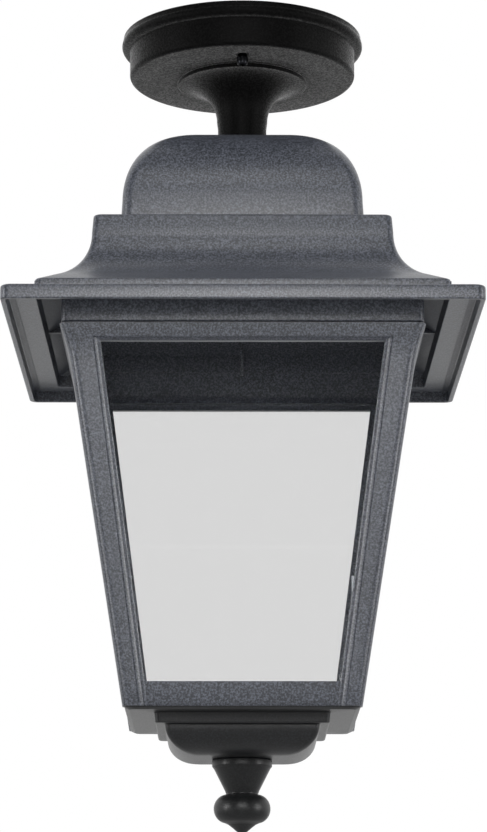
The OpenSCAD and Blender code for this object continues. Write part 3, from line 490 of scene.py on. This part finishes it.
def roof():
    """Ogee roof: ledge, upright, hollow curve, step, flat eaves with a deep lip, and
    underneath a stepped channel and the collar round the basket's top."""
    eaves, ledge, opening, thickness = extent("roof", HIGH, ACROSS), 70.3, 41, 3
    curve, curve_radius, inner_radius = (98, LEDGE - 8.9), 27, 29.5
    # Half widths: foot of the curve, inside of the lip, groove, collar outside, inside and above the rebate
    step, lip_inner, groove, collar, collar_inner, neck = 95.8, eaves - 2.4, 105, 84.2, 81.5, 80.7
    fascia, soffit, groove_floor, channel, rebate = LIP + 7, LIP + 5.9, LIP + 4.9, LIP + 10.9, LIP + 9.2

    def inner_curve(across):
        """Height of the casting's inner face over a half width."""
        return curve[1] - sqrt(inner_radius ** 2 - (curve[0] - across) ** 2)

    outside = [(opening, LEDGE, 6, 0.4), (ledge, LEDGE, 3, 1.6)]
    outside += plain(arc(curve, curve_radius, 180, 245, 26), 3)
    outside += [(step, channel + 2.4, 3, 1.2), (step, channel - 0.5, 2.6, 0), (step, fascia + 0.2, 2.6, 0.4),
                (eaves, fascia, 4, 1.7), (eaves, LIP, 4, 0.8), (lip_inner, LIP, 2, 0.4),
                (lip_inner, soffit, 2, 0.6), (groove, soffit, 1.8, 0.3), (groove, groove_floor, 1.8, 0.3)]
    inside = [(step - 0.5, groove_floor, 1.4, 0.5), (step - 1.1, channel, 1.4, 0.5),
              (collar, inner_curve(collar), 3, 0.8), (collar, LIP - COLLAR_DROP, 3, 0.8),
              (collar_inner, LIP - COLLAR_DROP, 1, 0.4), (collar_inner, rebate, 1, 0.2),
              (neck, rebate, 1, 0.2)]
    stations = (neck, 78.2, 75.8, 74, 72.4, 71, 69.8, 69, 68.55)
    inside += plain([(across, inner_curve(across)) for across in stations], 1.2)
    inside += [(68.5, curve[1], 1.2, 0), (67.8, LEDGE - thickness, 1.2, 1.5),
               (opening, LEDGE - thickness, 6, 0.4)]
    dress(mesh_piece("cast_roof", [square_casting(inside[::-1] + outside[::-1])]),
          "powder_coat", "hung", "roof")

    # Cast fins on each side's middle, one in the channel and one inside the collar
    half_fin = 0.9
    fins = []
    channel_fin = [(83, channel - 0.4), (step - 0.1, channel - 0.4), (step - 0.1, channel + 1.2),
                   (83, inner_curve(83) + 0.8)]
    fin_foot, fin_outer = LIP + 7.7, collar_inner + 0.1
    collar_fin = [(fin_outer, fin_foot), (78.2, fin_foot), (75.6, inner_curve(75.6) + 0.9),
                  (76.8, inner_curve(76.8) + 1.4), (fin_outer, inner_curve(80.2) + 1.2)]
    for turns in range(4):
        for outline in (channel_fin, collar_fin):
            fins.append(prism(outline, -half_fin, half_fin,
                              lambda a, b, d, turns=turns: quarter_turn((a, d, b), turns)))
    # A small rib across the front and rear eaves near each corner
    rib_out, rib_low, rib_high, half_rib = 94.3, LIP + 5.1, LIP + 8.7, 0.8
    # Two ears to each hinge pin, in the rear channel and rooted in the casting
    ear, ear_out, half_ear, ear_root = 4.2, 6, 1.4, inner_curve(collar - 0.4) + 1
    for sx in SIDES:
        for near, far in ((-109, -97.3), (97.3, 109)):
            fins.append(prism([(near, rib_low), (far, rib_low), (far, rib_high), (near, rib_high)],
                              sx * rib_out - half_rib, sx * rib_out + half_rib, lambda a, b, d: (d, a, b)))
        for side in SIDES:
            middle = sx * HINGE_X + side * ear_out
            outline = [(HINGE_Y - ear, ear_root), (HINGE_Y + ear, channel + 2)]
            outline += arc((HINGE_Y, HINGE_Z), ear, 0, -180, 14)
            fins.append(prism(outline, middle - half_ear, middle + half_ear, lambda a, b, d: (d, a, b)))
    dress(mesh_piece("roof_details", fins, bevel=0.35), "powder_coat", "hung")


# ---- Basket ----

def half_at(up):
    """Half width of the basket's straight taper at a level."""
    return FOOT_HALF + (up - FOOT) * SLOPE


def flare(up):
    """How far the frames' faces stand out beyond the taper near their top."""
    return FLARE_OUT * max(0, 1 - (TOP - up) / FLARE_HEIGHT) ** 2


def window_frame(name, turns, node_name):
    """One mitred window frame: posts with a rounded outer corner, a bevelled and quirked
    moulding round the pane, a flared top, and a bottom rail set back behind the posts."""
    back, corner, corner_steps, mitre_gap = 5.57, 4.5, 6, 0.15
    # Across the moulding from the face to the pane, and in from the face
    moulding = [(0, 0), (0.06, 0.6), (0.13, 0.4), (0.56, 1.5), (0.63, 2.2), (0.74, 2.1), (0.88, 2.35), (1, 3)]
    last = len(moulding) - 1
    moulding_foot, moulding_top = 4.2, 3.5
    face_foot, face_top = 47.9, 70.5
    rail_top, opening_top = FOOT + 11.4, TOP - 7.4
    lintel, lintel_drop = TOP - 6.2, 1.2
    band = TOP - 5
    levels = [FOOT, rail_top, TOP - FLARE_HEIGHT, TOP - 14, TOP - 10]
    all_levels = levels + [band, TOP]
    points, faces = [], []

    def quad(*corners):
        """A face through (across, inset, up) corners."""
        faces.append(tuple(range(len(points), len(points) + len(corners))))
        points.extend(quarter_turn((across, inset - half_at(up), up), turns) for across, inset, up in corners)

    def rim(side, i, up):
        """The outer corner, from the mitre to the face, at a level."""
        turn = radians(45 - 45 * i / corner_steps)
        reach = half_at(up) + flare(up) - corner + corner * sin(turn) - mitre_gap
        return side * reach, corner * (1 - cos(turn)) - flare(up), up

    def inner_edges(up):
        """Inner edge of the post's face and of its moulding, as half widths."""
        t = (up - FOOT) / (TOP - FOOT)
        face = face_foot + (face_top - face_foot) * t
        return face, face - moulding_foot + (moulding_foot - moulding_top) * t

    def mould(side, step, up):
        """A point of a post's moulding."""
        across, inset = moulding[step]
        face, inner = inner_edges(up)
        return side * (face + (inner - face) * across), inset - flare(up), up

    def mould_top(side, step):
        """A point of the moulding's upper corner, where the post meets the top rail."""
        return mould(side, step, lintel - lintel_drop * moulding[step][0])

    def pane_side(side, up):
        """A point beside the pane's edge, at the frame's back."""
        return side * inner_edges(up)[1], back, up

    def mitre_back(side, up):
        """A point where the mitre meets the frame's back."""
        return side * (half_at(up) - back - mitre_gap), back, up

    # Posts: rounded corner, face, moulding, pane edge, mitre and back
    for side in SIDES:
        for low, high in zip(all_levels, all_levels[1:]):
            for i in range(corner_steps):
                quad(rim(side, i, low), rim(side, i + 1, low), rim(side, i + 1, high), rim(side, i, high))
        for low, high in zip(levels, levels[1:]):
            quad(rim(side, corner_steps, low), mould(side, 0, low), mould(side, 0, high),
                 rim(side, corner_steps, high))
            for step in range(last):
                quad(mould(side, step, low), mould(side, step + 1, low), mould(side, step + 1, high),
                     mould(side, step, high))
        level = levels[-1]
        quad(rim(side, corner_steps, level), mould(side, 0, level), mould_top(side, 0),
             rim(side, corner_steps, band))
        for step in range(last):
            quad(mould(side, step, level), mould(side, step + 1, level), mould_top(side, step + 1),
                 mould_top(side, step))
        quad(*[mould(side, last, up) for up in levels[1:]], mould_top(side, last),
             pane_side(side, opening_top), pane_side(side, rail_top))
        quad(mould(side, last, FOOT), pane_side(side, FOOT), pane_side(side, rail_top),
             mould(side, last, rail_top))
        quad(mitre_back(side, FOOT), *[rim(side, 0, up) for up in all_levels], mitre_back(side, TOP))
        quad(mitre_back(side, FOOT), pane_side(side, FOOT), pane_side(side, rail_top),
             pane_side(side, opening_top), mitre_back(side, TOP))
        # The foot's end face, in two strips with the rail's between them, so that none bends
        quad(mitre_back(side, FOOT), *[rim(side, i, FOOT) for i in range(corner_steps + 1)],
             *[mould(side, step, FOOT) for step in range(last + 1)], pane_side(side, FOOT))

    # Top rail: moulding, face, band, reveal, back and end face
    for step in range(last):
        quad(mould_top(-1, step), mould_top(1, step), mould_top(1, step + 1), mould_top(-1, step + 1))
    quad(rim(-1, corner_steps, TOP), rim(1, corner_steps, TOP), rim(1, corner_steps, band),
         rim(-1, corner_steps, band))
    quad(rim(-1, corner_steps, band), rim(1, corner_steps, band), mould_top(1, 0), mould_top(-1, 0))
    quad(mould_top(-1, last), mould_top(1, last), pane_side(1, opening_top), pane_side(-1, opening_top))
    quad(mitre_back(-1, TOP), pane_side(-1, opening_top), pane_side(1, opening_top), mitre_back(1, TOP))
    quad(mitre_back(-1, TOP), *[rim(-1, i, TOP) for i in range(corner_steps + 1)],
         *[rim(1, i, TOP) for i in range(corner_steps, -1, -1)], mitre_back(1, TOP))

    # Bottom rail: sill, face, back and end face
    quad(mould(-1, last, rail_top), mould(1, last, rail_top), pane_side(1, rail_top), pane_side(-1, rail_top))
    quad(mould(-1, last, FOOT), mould(1, last, FOOT), mould(1, last, rail_top), mould(-1, last, rail_top))
    quad(pane_side(-1, FOOT), pane_side(1, FOOT), pane_side(1, rail_top), pane_side(-1, rail_top))
    quad(mould(-1, last, FOOT), mould(1, last, FOOT), pane_side(1, FOOT), pane_side(-1, FOOT))

    # Tab on the bottom rail that the base screws into
    tab_half, tab_outer, tab_inner = 8, 48.5, 31.5
    tab = [(-tab_half, tab_outer), (tab_half, tab_outer), (tab_half, tab_inner), (-tab_half, tab_inner)]
    foot_tab = prism(tab, FOOT + 0.6, FOOT + 3.1, lambda a, b, up: quarter_turn((a, -b, up), turns))
    piece = mesh_piece(name, [(points, faces), foot_tab], bevel=0.2, sharp_angle=32)
    dress(piece, "powder_coat", "basket", node_name)


def base():
    """Base casting: plate with a chamfered edge, square step, and a bowl down to a flat foot."""
    plate, step, bowl_half, flat, wall = extent("base", HIGH, ACROSS), 41.1, 36.1, 20.3, 2.6
    bowl_top = STEP - 0.3

    def bowl(inset, plan, count):
        """The bowl's curve from its upright side down to the flat foot."""
        reach, depth = bowl_half - flat - inset, bowl_top - BOWL - inset
        angles = [radians(-90 * i / count) for i in range(count + 1)]
        return [(flat + reach * cos(a), bowl_top + depth * sin(a), plan, 0) for a in angles]

    profile = [(38.5, FOOT, 1.5, 0.3), (plate, FOOT, 4.4, 0.3), (plate - 2.9, UNDER, 3.2, 0.4),
               (step, UNDER, 2.5, 0.5), (step - 0.4, STEP + 0.4, 2.5, 0.5), (step - 1.1, STEP, 2.5, 0.3),
               (bowl_half + 0.8, STEP, 2.5, 0.4)]
    stud_hole = 3.2
    profile += bowl(0, 2.5, 22) + [(stud_hole, BOWL, 3.1, 0), (stud_hole, BOWL + wall, 3.1, 0)]
    profile += bowl(wall, 1.2, 14)[::-1]
    profile += [(bowl_half - wall, STEP + 2.2, 1.2, 0), (38, STEP + wall, 1.5, 0.6)]
    shells = [square_casting(profile)]
    # A tapped post under each frame's tab
    post = arc((36.5, 0), 3.8, 0, 345, 23)
    for turns in range(4):
        shells.append(prism(post, STEP + 1, FOOT + 0.5,
                            lambda a, b, up, turns=turns: quarter_turn((a, b, up), turns)))
    # The base takes a darker copy of the powder: painted shade under the frames
    dress(mesh_piece("cast_base", shells), "powder_coat", "basket", "base", look=base_shaded_black)


def finial():
    """Turned finial: flange, cone, neck, flattened ball and a blunt tip, on a stud."""
    flange, stud, stud_top = extent("finial", HIGH, ACROSS), 3, extent("finial", HIGH)
    tip, neck = extent("finial", LOW), BOWL - 16.5
    ball_core, ball_out, ball_half = 7.3, 6.2, 6.7
    ball = neck - ball_half
    outline = [(0, stud_top, 0, 0), (stud - 0.4, stud_top, 0, 0.3), (stud, stud_top - 0.4, 0, 0),
               (stud, BOWL, 0, 0), (flange, BOWL, 0, 0.7), (flange, BOWL - 3.2, 0, 0.9),
               (flange - 0.9, BOWL - 4.3, 0, 0.5), (8.2, neck + 1.9, 0, 1.2), (7.5, neck, 0, 0.5)]
    outline += plain([(ball_core + ball_out * cos(radians(a)), ball + ball_half * sin(radians(a)))
                      for a in range(76, -81, -6)])
    outline += [(6.6, ball - ball_half - 0.7, 0, 0.5), (4.4, tip + 2.6, 0, 1), (2.2, tip + 0.7, 0, 0.8),
                (0, tip, 0, 0)]
    # The finial's darker powder is painted shade; its satin gloss comes from roughness and coat
    dress(mesh_piece("turned_finial", [turned(outline, 64)]), "powder_coat", "basket", "finial",
          look=satin_shaded_black)


# ---- Small fasteners, by Geometry Nodes ----

def fastener_tree(head):
    """Puts a head at every point, facing along the point's own direction."""
    tree = bpy.data.node_groups.new("fasteners", "GeometryNodeTree")
    tree.interface.new_socket("Places", in_out="INPUT", socket_type="NodeSocketGeometry")
    size = tree.interface.new_socket("Head Size", in_out="INPUT", socket_type="NodeSocketFloat")
    finish_input = tree.interface.new_socket("Finish", in_out="INPUT", socket_type="NodeSocketMaterial")
    tree.interface.new_socket("Fasteners", in_out="OUTPUT", socket_type="NodeSocketGeometry")
    given = add_node(tree, "NodeGroupInput")
    facing = add_node(tree, "GeometryNodeInputNamedAttribute", {"Name": "facing"}, data_type="FLOAT_VECTOR")
    turn = add_node(tree, "FunctionNodeAlignRotationToVector", {"Vector": facing.outputs["Attribute"]},
                    axis="Z")
    shape = add_node(tree, "GeometryNodeObjectInfo", {"Object": head, "As Instance": True})
    heads = add_node(tree, "GeometryNodeInstanceOnPoints", {
        "Points": given.outputs["Places"], "Instance": shape.outputs["Geometry"],
        "Rotation": turn.outputs["Rotation"], "Scale": given.outputs["Head Size"]})
    real = add_node(tree, "GeometryNodeRealizeInstances", {"Geometry": heads.outputs["Instances"]})
    finished = add_node(tree, "GeometryNodeSetMaterial", {
        "Geometry": real.outputs["Geometry"], "Material": given.outputs["Finish"]})
    add_node(tree, "NodeGroupOutput", {"Fasteners": finished.outputs["Geometry"]})
    return tree, size.identifier, finish_input.identifier


def fasteners(name, places, size, slot_name, body):
    """Domed heads of a radius at (point, direction) places, for one body."""
    # A head of radius 1 mm, made a unit larger so that its size is the modifier's own input
    dome_edge = plain([(0.96 * cos(radians(a)), 0.12 + 0.5 * sin(radians(a))) for a in (15, 35, 55, 75)])
    profile = [(0, -0.2, 0, 0), (1, -0.2, 0, 0), (1, 0.1, 0, 0.1)] + dome_edge + [(0, 0.62, 0, 0)]
    head = mesh_piece("rivet_head", [turned(profile, 16)])
    head.data.transform(Matrix.Scale(1 / MM, 4))
    tree, size_id, finish_id = fastener_tree(head)
    mesh = bpy.data.meshes.new(name)
    mesh.from_pydata([[c * MM for c in place] for place, _ in places], [], [])
    directions = mesh.attributes.new("facing", "FLOAT_VECTOR", "POINT")
    directions.data.foreach_set("vector", [c for _, facing in places for c in facing])
    piece = add_object(name, mesh)
    repeat = piece.modifiers.new("fasteners", "NODES")
    repeat.node_group = tree
    repeat[size_id] = size * MM
    repeat[finish_id] = finish[slot_name]
    settle(piece)
    bpy.data.objects.remove(head)
    dress(piece, slot_name, body)


def leaf_screws():
    """Two screw heads on each hinge leaf, on the rear frame's face."""
    leaf_face = 1.7
    facing = Vector((0, 1, -SLOPE)).normalized()
    places = [((s * HINGE_X, half_at(up) + flare(up) + leaf_face, up), facing)
              for s in SIDES for up in (TOP - 9.1, TOP - 19)]
    fasteners("leaf_screws", places, 2.5, "zinc_steel", "basket")


def angle_rivets():
    """Two rivet heads on each leg of the corner angles, inside the basket."""
    beside_corner, behind_face = 11, 7.2
    places = []
    for turns in range(4):
        for up in (TOP - 20, TOP - 36):
            for s in SIDES:
                spot = (s * (half_at(up) - beside_corner), behind_face - half_at(up), up)
                places.append((quarter_turn(spot, turns), quarter_turn((0, 1, SLOPE), turns)))
    fasteners("angle_rivets", places, 1.5, "zinc_steel", "basket")


rose()
stem()
dome()
roof()
for turn, side_name in enumerate(("front", "right", "rear", "left")):
    window_frame("window_frame_" + side_name, turn, "frame_" + side_name)
base()
finial()
for eased_name in ("ceiling_plate", "terminal_block"):
    eased_node(eased_name, 0.25, "hung")
for eased_name in ("hinge_leaf_left", "hinge_leaf_right"):
    eased_node(eased_name, 0.2, "basket")
leaf_screws()
angle_rivets()


# ---- Studio, in metres ----

FLOOR = -2.4
FLOOR_HALF = 9


def studio_floor():
    """Pale floor, far enough below the lantern to stay out of the way from every side."""
    material, tree, out, place = new_material("pale_studio_floor")
    dapple = add_node(tree, "ShaderNodeTexNoise", {"Vector": place, "Scale": cells(333), "Detail": 2})
    tone = add_node(tree, "ShaderNodeMapRange", {
        "Value": dapple.outputs["Fac"], "To Min": 0.97, "To Max": 1})
    tint = add_node(tree, "ShaderNodeVectorMath", {
        0: srgb("#F4F4F4")[:3], "Scale": tone.outputs["Result"]}, operation="SCALE")
    matt = add_node(tree, "ShaderNodeBsdfPrincipled", {
        "Base Color": tint.outputs["Vector"], "Roughness": 0.9})
    tree.links.new(matt.outputs["BSDF"], out.inputs["Surface"])
    mesh = bpy.data.meshes.new("studio_floor")
    mesh.from_pydata([(x, y, FLOOR) for x, y in block(FLOOR_HALF, FLOOR_HALF)], [], [(0, 1, 2, 3)])
    mesh.materials.append(material)
    add_object("studio_floor", mesh)


def studio_world():
    """Pure white where the eye sees it, straight or through the panes; for the lantern
    itself a lit white backdrop behind it and a dim room in front."""
    backdrop_fade, front_level, diffuse_level = 0.25, 0.02, 0.12
    world = bpy.data.worlds.new("white_studio")
    world.use_nodes = True
    tree = world.node_tree
    tree.nodes.clear()
    around = add_node(tree, "ShaderNodeTexCoord")
    toward = add_node(tree, "ShaderNodeSeparateXYZ", {"Vector": around.outputs["Generated"]})
    backdrop = add_node(tree, "ShaderNodeMapRange", {
        "Value": toward.outputs["Y"], "From Min": -backdrop_fade, "From Max": backdrop_fade,
        "To Min": front_level, "To Max": 1.0}, interpolation_type="SMOOTHSTEP")
    path = add_node(tree, "ShaderNodeLightPath")
    room = add_node(tree, "ShaderNodeMath", {
        0: backdrop.outputs["Result"], 1: diffuse_level}, operation="MULTIPLY")
    glossy = add_node(tree, "ShaderNodeMix", {
        "Factor": path.outputs["Is Glossy Ray"], "A": room.outputs["Value"],
        "B": backdrop.outputs["Result"]})
    bounces = add_node(tree, "ShaderNodeMath", {
        0: path.outputs["Diffuse Depth"], 1: path.outputs["Glossy Depth"]}, operation="ADD")
    bounced = add_node(tree, "ShaderNodeMath", {0: bounces.outputs["Value"], 1: 0.5},
                       operation="GREATER_THAN")
    strength = add_node(tree, "ShaderNodeMix", {
        "Factor": bounced.outputs["Value"], "A": 1.0, "B": glossy.outputs["Result"]})
    surround = add_node(tree, "ShaderNodeBackground", {
        "Color": srgb("#FFFFFF"), "Strength": strength.outputs["Result"]})
    add_node(tree, "ShaderNodeOutputWorld", {"Surface": surround.outputs["Background"]})
    bpy.context.scene.world = world


def softbox(name, azimuth, elevation, width, tall, radiance):
    """A rectangular soft lamp aimed at the lantern, its angles in degrees from the camera's side."""
    distance, spread, aim = 1.7, 75, Vector((0, 0, -0.2))
    lamp = bpy.data.lights.new(name, "AREA")
    lamp.shape = "RECTANGLE"
    lamp.size = width
    lamp.size_y = tall
    lamp.energy = radiance * pi * width * tall
    lamp.spread = radians(spread)
    turn, rise = radians(azimuth), radians(elevation)
    away = Vector((sin(turn) * cos(rise), -cos(turn) * cos(rise), sin(rise)))
    facing = away.to_track_quat("Z", "Y").to_matrix().to_4x4()
    add_object(name, lamp).matrix_world = Matrix.Translation(aim + away * distance) @ facing


def studio_lamps():
    """Soft lamps in front and to both sides, and a wash of its own that keeps the floor pale."""
    # Elevations clear of what the front pane (-5 to -11) and the rear pane (25 to 32) mirror into the lens
    softbox("key_softbox", 0, 10.5, 0.6, 0.55, 1.65)
    softbox("high_softbox", 0, 46, 0.6, 0.55, 0.5)
    for side in SIDES:
        softbox("fill_softbox", side * 15, -6, 0.28, 0.5, 0.65)
        softbox("side_strip", side * 68, 3, 0.22, 1.0, 3.1)
    wash_size, wash_level, wash_height = 16, 0.45, 0.6
    wash = bpy.data.lights.new("floor_wash", "AREA")
    wash.size = wash_size
    wash.energy = wash_level * pi * wash_size ** 2
    add_object("floor_wash", wash).location = (0, 0, FLOOR + wash_height)


def photo_camera():
    """The photo's view: 1.47 m in front, 0.35 m below the eaves, pitched up 12.2 degrees."""
    pitch, roll = 0.2126, -0.0042
    camera = bpy.data.cameras.new("photo_camera")
    camera.sensor_width = 36
    camera.lens = 133.25
    camera.clip_start = 0.05
    eye = add_object("photo_camera", camera)
    eye.location = (-0.0055, -1.4683, -0.5094)
    eye.rotation_euler = (pi / 2 + pitch, 0, roll)
    bpy.context.scene.camera = eye


bpy.context.scene.view_settings.view_transform = "Standard"
studio_floor()
studio_world()
studio_lamps()
photo_camera()
